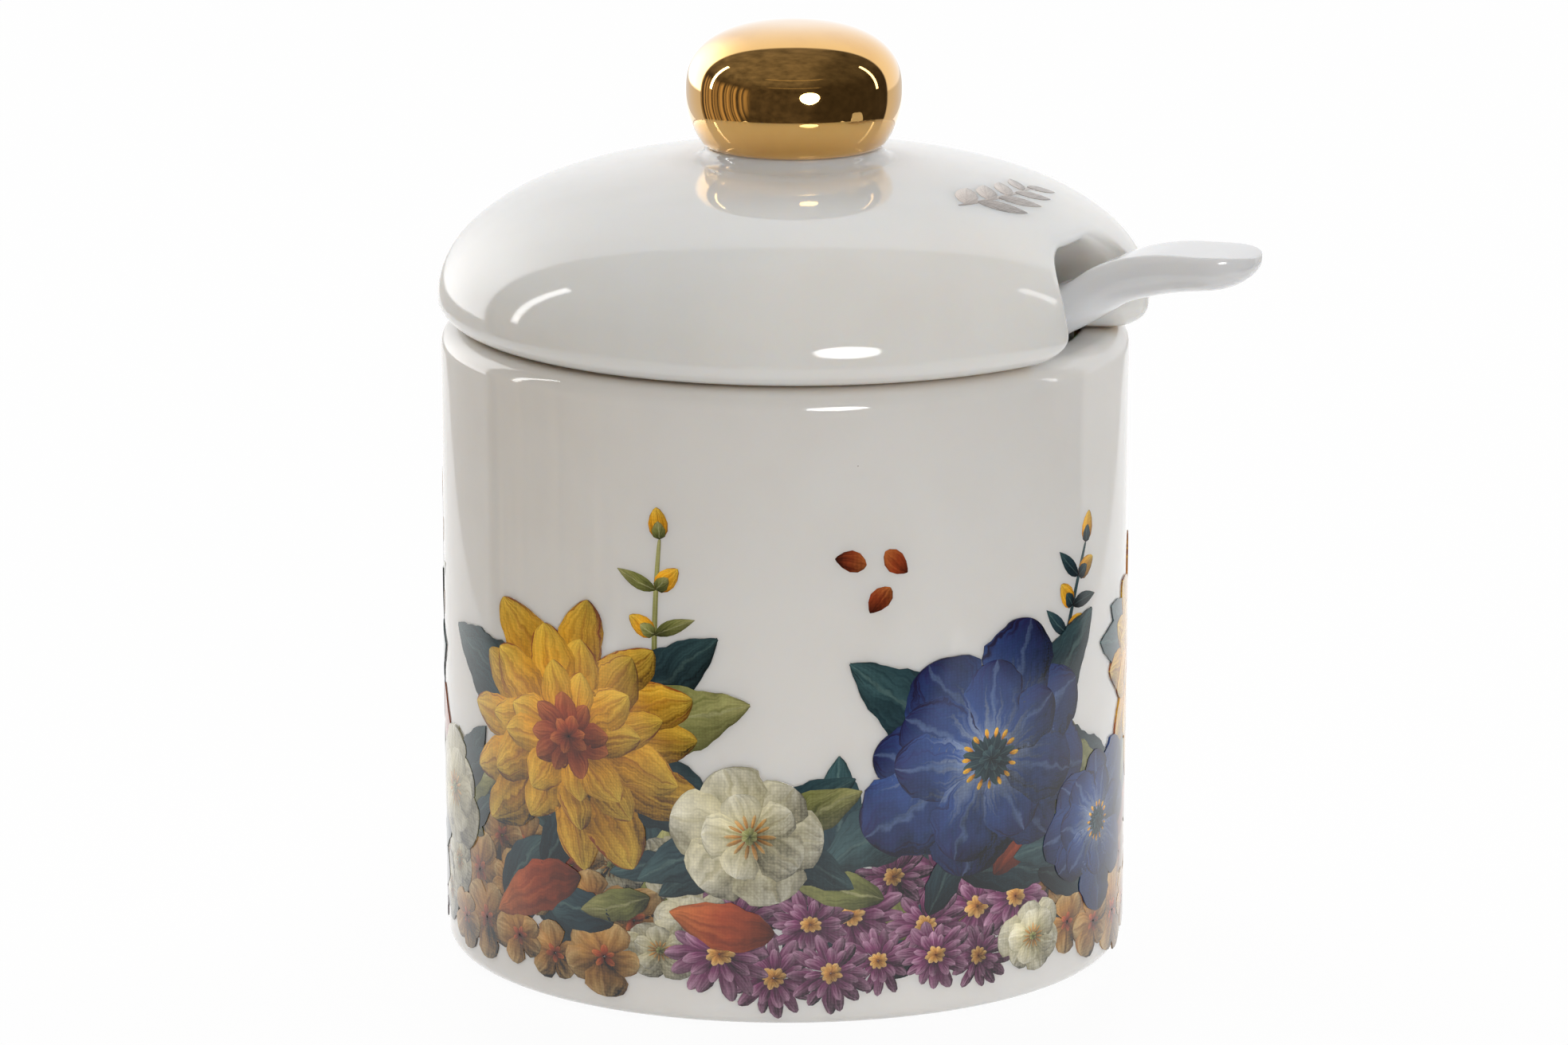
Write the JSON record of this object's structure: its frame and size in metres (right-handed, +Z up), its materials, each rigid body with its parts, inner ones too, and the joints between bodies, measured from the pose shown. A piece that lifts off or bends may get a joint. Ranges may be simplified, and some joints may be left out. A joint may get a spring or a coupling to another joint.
{
  "type": "sugar jar",
  "caption": "Straight-sided glazed ceramic sugar jar with a domed lift-off lid, gold ball knob, and a ceramic spoon resting in a notch in the lid's rim.",
  "frame": {"origin": "centre of the jar's flat base, on the table", "axes": "+Z up along the jar's axis; +X towards the spoon's handle and its notch in the lid; +Y completes the right-handed frame"},
  "size_m": [0.1239, 0.1028, 0.1359],
  "materials": {
    "jar_glaze": "glossy warm white glaze with a printed flower band, dry unglazed base",
    "lid_glaze": "glossy warm white glaze, bare clay line at the seat",
    "gold_lustre": "mirror gold lustre fired over the glaze",
    "spoon_glaze": "glossy cool white glaze"
  },
  "bodies": {
    "jar": {"jar_body": "jar_glaze"},
    "cover": {"lid": "lid_glaze", "lid_knob": "gold_lustre"},
    "sugar_spoon": {"spoon": "spoon_glaze"}
  },
  "joints": [
    {"name": "lid_lift", "type": "slide", "parent": "jar", "child": "cover", "axis": [0, 0, 1], "range_m": [0, 0.08]},
    {"name": "spoon_tilt", "type": "hinge", "parent": "jar", "child": "sugar_spoon", "pos_m": [0.0437, 0, 0.0907], "axis": [0, 1, 0], "range_deg": [0, 10]}
  ]
}
